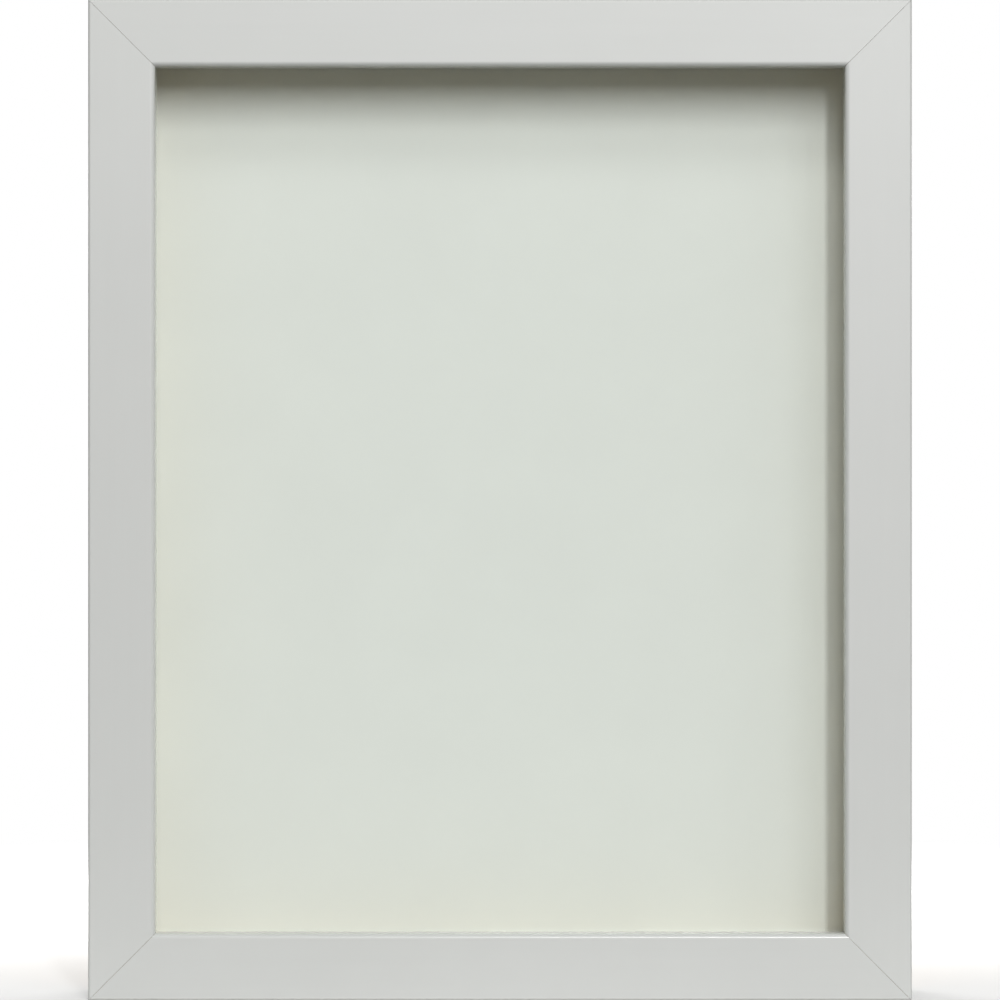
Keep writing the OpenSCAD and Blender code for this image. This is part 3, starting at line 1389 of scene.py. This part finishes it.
@dataclass
class Hangers:
    """The strap hangers and their D-shaped rings.

    Args:
        at: the shared places.
        sheet: the thickness of the strap's sheet.
        width: the width of the strap.
        roll: the radius of the roll round the ring, to the middle of the sheet.
        wire: the radius of the ring's wire.
        half: half the ring's width, to the middle of its wire.
        bend: the radius of its two tight bends.
        arm: how far its straight arms reach from the bar.
        screw_drop: from the bar down to the strap's screw.
        flat_from: from the bar down to where the strap lies flat on the wood.
        knee: where the sheet starts its steep rise, below the bar and above its flat middle.
        wrap: how far the sheet rolls round the bar, in degrees.
        burr: the softness of the sheet's edges.
    """

    at: Places
    sheet: float = 0.8 * MM
    width: float = 7.8 * MM
    roll: float = 1.46 * MM
    wire: float = 1.0 * MM
    half: float = 6.0 * MM
    bend: float = 2.0 * MM
    arm: float = 4.5 * MM
    screw_drop: ClassVar[float] = 5.2 * MM
    flat_from: float = 2.2 * MM
    knee: tuple[float, float] = (0.9 * MM, 0.16 * MM)
    wrap: float = 285.0
    burr: float = 0.14 * MM

    @staticmethod
    def joint(side: Side) -> dict:
        """The record's joint of one ring."""
        return next(j for j in frame["joints"] if j["name"] == f"hanger_ring_{side.name.lower()}_swing")

    @staticmethod
    def screws() -> list[tuple[float, float]]:
        """Each strap's screw, as its x and z."""
        spots = [Hangers.joint(side)["pos_m"] for side in Side]
        return [(spot[0], spot[2] - Hangers.screw_drop) for spot in spots]

    def strap(self, name: str, lift: float) -> bpy.types.Object:
        """Models a strap as one sheet: a plate with a round end, rolled up round the ring's bar.

        Args:
            name: the piece's name.
            lift: the height of the bar above the wood.

        Returns:
            The strap.
        """
        half, mid = self.width / 2, self.sheet / 2
        end = self.screw_drop + half
        deselect_all()
        bpy.ops.mesh.primitive_plane_add(size=1, location=(0, (end + self.flat_from) / 2, mid))
        bpy.context.active_object.scale = (self.width, end - self.flat_from, 1)
        strap = named(name)
        with Editing(strap) as edit:
            edit.points(lambda point: point.y > end - 0.1 * MM)
            bpy.ops.mesh.bevel(offset=half * 0.999, segments=10, affect="VERTICES", clamp_overlap=True)
            for y, z in ((self.knee[0], mid + self.knee[1]), (0.0, lift - self.roll)):
                edit.edges(self.at_lowest_y(edit))
                edit.extrude((0, 0, 0))
                self.move_to(edit, y, z)
            edit.edges(self.at_lowest_y(edit))
            bpy.ops.mesh.spin(steps=22, angle=math.radians(self.wrap), center=(0, 0, lift), axis=(1, 0, 0))
            edit.everything()
            bpy.ops.mesh.remove_doubles(threshold=NEAR)
            bpy.ops.mesh.normals_make_consistent(inside=False)
        add_modifier(strap, "SOLIDIFY", thickness=self.sheet, offset=0.0, use_even_offset=True)
        add_modifier(strap, "BEVEL", width=self.burr, segments=2, limit_method="ANGLE",
                     angle_limit=math.radians(50))
        smooth(strap)
        return strap

    @staticmethod
    def at_lowest_y(edit: Editing) -> PointTest:
        """A test for the edge that lies furthest towards local -Y.

        Args:
            edit: the piece in edit mode.

        Returns:
            The test.
        """
        mesh = bmesh.from_edit_mesh(edit.piece.data)
        lowest = min(point.co.y for point in mesh.verts)
        return lambda point: point.y < lowest + NEAR

    @staticmethod
    def move_to(edit: Editing, y: float, z: float) -> None:
        """Moves the selected edge, which runs along X, to another place.

        Args:
            edit: the piece in edit mode.
            y: where it goes along Y.
            z: its new height.
        """
        mesh = bmesh.from_edit_mesh(edit.piece.data)
        chosen = [point for point in mesh.verts if point.select]
        step = Vector((0, y - chosen[0].co.y, z - chosen[0].co.z))
        bpy.ops.transform.translate(value=step)

    def ring(self, name: str, lift: float) -> bpy.types.Object:
        """Models a D-shaped ring by carrying the wire's section round it.

        Args:
            name: the piece's name.
            lift: the height of its bar above the wood.

        Returns:
            The ring.
        """
        straight = self.half - self.bend
        deselect_all()
        bpy.ops.mesh.primitive_circle_add(vertices=20, radius=self.wire, fill_type="NOTHING",
                                          location=(-straight, 0, lift), rotation=(0, math.pi / 2, 0))
        ring = named(name)
        with Editing(ring) as edit:
            edit.everything()
            edit.extrude((2 * straight, 0, 0))
            for steps, angle, centre, arm in (
                    (8, math.pi / 2, (straight, self.bend, lift), self.arm - self.bend),
                    (28, math.pi, (0, self.arm, lift), self.bend - self.arm),
                    (8, math.pi / 2, (-straight, self.bend, lift), 0.0)):
                bpy.ops.mesh.spin(steps=steps, angle=angle, center=centre, axis=(0, 0, -1))
                if arm:
                    edit.extrude((0, arm, 0))
            edit.everything()
            bpy.ops.mesh.remove_doubles(threshold=2 * NEAR)
            bpy.ops.mesh.normals_make_consistent(inside=False)
        pick(ring)
        bpy.ops.object.shade_smooth()
        return ring

    def build(self, steel: bpy.types.Material, wire: bpy.types.Material) -> None:
        """Models, places and dresses both hangers.

        Args:
            steel: the finish of the straps.
            wire: the finish of the rings.
        """
        lift = self.joint(Side.LEFT)["pos_m"][1] - self.at.back
        strap, ring = self.strap("strap", lift), self.ring("ring", lift)
        for side in Side:
            x, _, z = self.joint(side)["pos_m"]
            name = side.name.lower()
            plate = settle(copy_of(strap, f"hanger_plate_{name}"), back_matrix(x, z, self.at.back))
            dress(plate, steel)
            deliver(plate, ROOT_BODY, "zinc_plate", f"hanger_strap_{name}")
            loop = settle(copy_of(ring, f"hanger_loop_{name}"), back_matrix(x, z, self.at.back))
            dress(loop, wire)
            deliver(loop, f"hanger_ring_{name}", "zinc_plate", f"hanger_ring_{name}")
        bpy.data.objects.remove(strap)
        bpy.data.objects.remove(ring)


@dataclass
class Bumpers:
    """The round rubber bumpers on the lower back corners.

    Args:
        at: the shared places.
        flange: the height of the thin foot that is stuck to the wood.
        dome: the radius that rounds the top.
        shoulder: how far the dome stands in from the foot's rim.
        taper: the top's width over the foot of the dome.
        rim: the radius of the foot's rim.
        crease: edges sharper than this stay crisp, in degrees.
    """

    at: Places
    flange: float = 0.7 * MM
    dome: float = 1.1 * MM
    shoulder: float = 0.5 * MM
    taper: float = 0.93
    rim: float = 0.2 * MM
    crease: float = 50.0

    def build(self, rubber: bpy.types.Material) -> None:
        """Models, places and dresses both bumpers.

        Args:
            rubber: the finish of the bumpers.
        """
        for side in Side:
            name = side.name.lower()
            low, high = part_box(f"bumper_{name}")
            radius, height = (high.x - low.x) / 2, high.y - low.y
            pad = add_disc(f"wall_bumper_{name}", radius, self.flange, sides=64)
            with Editing(pad) as edit:
                edit.faces(lambda centre, normal: normal.z > 0.9)
                bpy.ops.mesh.inset(thickness=self.shoulder)
                edit.extrude((0, 0, height - self.flange))
                bpy.ops.transform.resize(value=(self.taper, self.taper, 1.0))
                edit.edges(lambda point: abs(point.z - height) < NEAR)
                edit.round_edges(self.dome, 7)
                edit.edges(lambda point: abs(point.z - self.flange) < NEAR
                           and math.hypot(point.x, point.y) > radius - self.shoulder / 5)
                edit.round_edges(self.rim, 3)
            smooth(pad, self.crease)
            settle(pad, back_matrix((low.x + high.x) / 2, (low.z + high.z) / 2, self.at.back))
            dress(pad, rubber)
            deliver(pad, ROOT_BODY, "bumper_rubber", f"bumper_{name}")


# ---------------------------------------------------------------- the studio


@dataclass(frozen=True)
class Softbox:
    """A rectangular light that looks at a point.

    Args:
        name: the light's name.
        place: where it stands.
        aim: what it looks at.
        width: its width.
        height: its height.
        watts: its power.
    """

    name: str
    place: Spot
    aim: Spot
    width: float
    height: float
    watts: float

    def light(self) -> None:
        """Adds the light."""
        data = bpy.data.lights.new(self.name, "AREA")
        data.shape = "RECTANGLE"
        data.size, data.size_y = self.width, self.height
        data.energy = self.watts
        lamp = bpy.data.objects.new(self.name, data)
        lamp.location = self.place
        lamp.rotation_euler = (Vector(self.aim) - Vector(self.place)).to_track_quat("-Z", "Y").to_euler()
        lamp.visible_camera = False
        bpy.context.scene.collection.objects.link(lamp)


@dataclass
class Studio:
    """The floor, the lights, the white surround and the camera.

    Args:
        at: the shared places.
        distance: from the camera to the front of the box.
        sensor: the width of the camera's sensor, in millimetres.
        margin: the picture's height over the box's height.
        ambient: how bright the surround lights the front.
        behind: how bright it lights the back.
        warmth: the surround's colour as it lights the box.
        turn: how far forward and back it changes from one brightness to the other.
        floor_centre: how far behind the box's middle the floor's middle is.
        floor_radius: how far out the floor reaches.
        floor_solid: how far out it stays whole.
        floor_gone: how far out it has faded away.
    """

    at: Places
    distance: float = 1.3
    sensor: float = 36.0
    margin: float = 0.9985
    ambient: float = 0.11
    behind: float = 0.26
    warmth: Colour = (1.0, 0.98, 0.92)
    turn: tuple[float, float] = (-0.05, 0.6)
    floor_centre: float = 0.20
    floor_radius: float = 1.5
    floor_solid: float = 0.18
    floor_gone: float = 0.42

    def surround(self) -> None:
        """A white surround that lights the box only softly."""
        world = bpy.data.worlds.new("surround")
        world.use_nodes = True
        bpy.context.scene.world = world
        tree = world.node_tree
        tree.nodes.clear()
        out = tree.nodes.new("ShaderNodeOutputWorld")
        mix = tree.nodes.new("ShaderNodeMixShader")
        path = tree.nodes.new("ShaderNodeLightPath")
        dim, bright = (tree.nodes.new("ShaderNodeBackground") for _ in range(2))
        dim.inputs["Color"].default_value = (*self.warmth, 1.0)
        facing = tree.nodes.new("ShaderNodeSeparateXYZ")
        tree.links.new(tree.nodes.new("ShaderNodeTexCoord").outputs["Generated"], facing.inputs[0])
        rise = tree.nodes.new("ShaderNodeMapRange")
        for index, value in enumerate((*self.turn, self.ambient, self.behind), start=1):
            rise.inputs[index].default_value = value
        tree.links.new(facing.outputs["Y"], rise.inputs[0])
        tree.links.new(rise.outputs[0], dim.inputs["Strength"])
        bright.inputs["Color"].default_value = (1.0, 1.0, 1.0, 1.0)
        bright.inputs["Strength"].default_value = 1.0
        tree.links.new(path.outputs["Is Camera Ray"], mix.inputs["Fac"])
        tree.links.new(dim.outputs[0], mix.inputs[1])
        tree.links.new(bright.outputs[0], mix.inputs[2])
        tree.links.new(mix.outputs[0], out.inputs["Surface"])

    def floor(self) -> None:
        """A pale floor that fades out well away from the box."""
        deselect_all()
        bpy.ops.mesh.primitive_circle_add(vertices=96, radius=self.floor_radius, fill_type="NGON",
                                          location=(0, self.floor_centre, 0))
        floor = named("studio_floor")
        paper = StudioFloor("floor_paper", self.floor_centre, self.floor_solid, self.floor_gone)
        dress(floor, paper.material())

    def lights(self) -> None:
        """The key from the upper right, and the lights behind."""
        centre = (0.0, 0.0, self.at.height / 2)
        for box in (
                Softbox("key_strip", (0.523, -3.19, 1.335), centre, 0.20, 1.50, 43.5),
                Softbox("wide_middle", (0.14, -3.19, 1.405), centre, 0.41, 1.62, 18.5),
                Softbox("wide_right", (1.417, -3.19, 1.50), centre, 1.36, 1.77, 22.5),
                Softbox("side_right", (2.60, -2.20, 1.30), centre, 1.00, 1.60, 7.0),
                Softbox("wide_left", (-0.95, -1.15, 0.90), centre, 0.60, 0.80, 1.0),
                Softbox("near_top", (-0.08, -0.55, 0.80), centre, 0.60, 0.15, 1.05),
                Softbox("floor_glow", (0.0, 0.40, 0.27), (0.0, 0.399, 0.0), 0.90, 0.20, 5.2),
                Softbox("back_key", (-0.75, 1.25, 0.95), centre, 0.5, 0.7, 4.5),
                Softbox("back_fill", (0.95, 1.0, 0.5), centre, 0.6, 0.7, 1.2)):
            box.light()

    def camera(self) -> None:
        """A long lens straight in front of the box, level with its middle."""
        data = bpy.data.cameras.new("camera")
        data.sensor_width = self.sensor
        data.lens = self.sensor * self.distance / (self.at.height * self.margin)
        camera = bpy.data.objects.new("camera", data)
        camera.location = (0.0, self.at.front - self.distance, self.at.height / 2)
        camera.rotation_euler = (math.pi / 2, 0.0, 0.0)
        bpy.context.scene.collection.objects.link(camera)
        bpy.context.scene.camera = camera

    def build(self) -> None:
        """Sets up the whole studio."""
        view = bpy.context.scene.view_settings
        view.view_transform = "Standard"
        view.look = "None"
        self.surround()
        self.floor()
        self.lights()
        self.camera()


def main() -> None:
    """Builds the box, then the studio round it."""
    at = Places.read()
    plate = PlatedSteel("zinc_plate").material()
    wire = PlatedSteel("zinc_wire", shine=0.2).material()
    screw = PlatedSteel("screw_steel", cool=(0.56, 0.58, 0.61), warm=(0.62, 0.61, 0.58)).material()
    nail = PlatedSteel("nail_steel", cool=(0.36, 0.37, 0.39), warm=(0.42, 0.40, 0.37), shine=0.4).material()
    nails = CornerNails(at)
    MitredFrame(at, nails).build()
    nails.build(nail)
    Glazing().build()
    Boards().build()
    Buttons(at).build(plate)
    Hangers(at).build(plate, wire)
    Screws(at).build(screw)
    Bumpers(at).build(Rubber("bumper_rubber").material())
    Studio(at).build()


if __name__ == "__main__":
    main()
